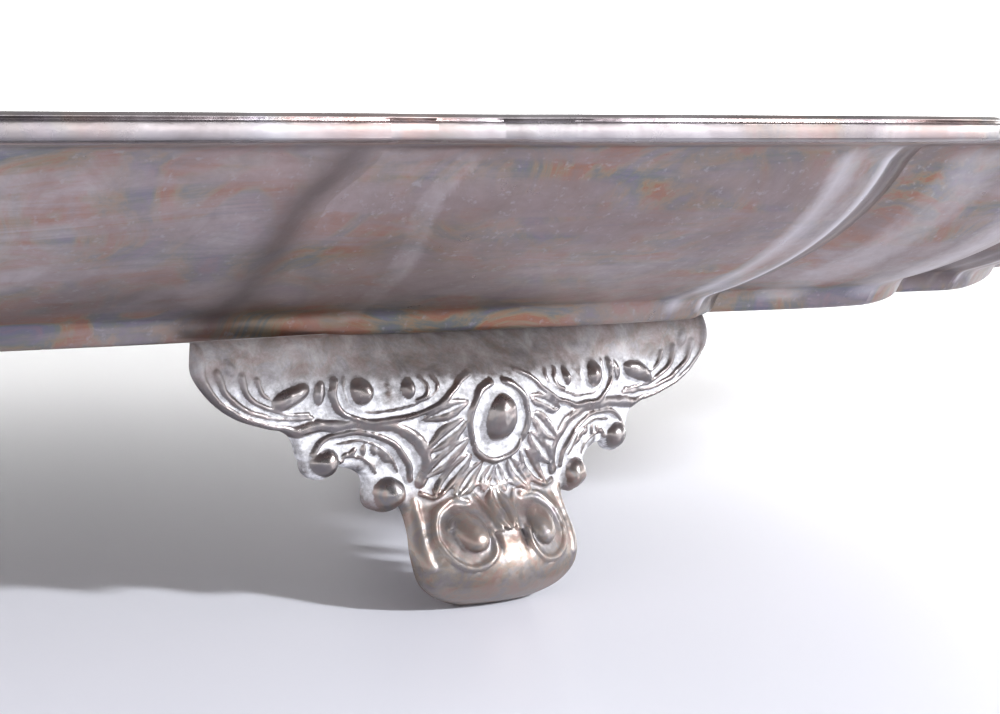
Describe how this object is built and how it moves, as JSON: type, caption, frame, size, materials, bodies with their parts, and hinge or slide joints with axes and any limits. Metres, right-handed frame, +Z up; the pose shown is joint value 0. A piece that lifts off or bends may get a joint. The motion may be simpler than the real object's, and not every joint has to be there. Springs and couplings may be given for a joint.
{
  "type": "footed vanity tray",
  "caption": "Round footed vanity tray with a scalloped pie-crust wall, moulded rim and three cast scroll feet, in tarnished silver plate.",
  "frame": {"origin": "on the table, under the middle of the tray", "axes": "+Z up; -Y is the front, half way between two feet; angles round the tray run from -Y towards +X"},
  "size_m": [0.3528, 0.3528, 0.0387],
  "materials": {
    "pan_silver_plate": "silver plate over brass, tarnished polish with iridescent patches",
    "rim_silver_plate": "silver plate over brass, rubbed bright on the crest, tarnished in the hollow",
    "cast_foot_silver_plate": "silver plate over cast brass, dark surface with pale polish residue in the hollows",
    "silver_solder": "dull grey"
  },
  "bodies": {
    "root": {"tray_pan": "pan_silver_plate", "rim_moulding": "rim_silver_plate", "foot_1": "cast_foot_silver_plate", "foot_2": "cast_foot_silver_plate", "foot_3": "cast_foot_silver_plate", "foot_solder_1": "silver_solder", "foot_solder_2": "silver_solder", "foot_solder_3": "silver_solder"}
  },
  "joints": []
}
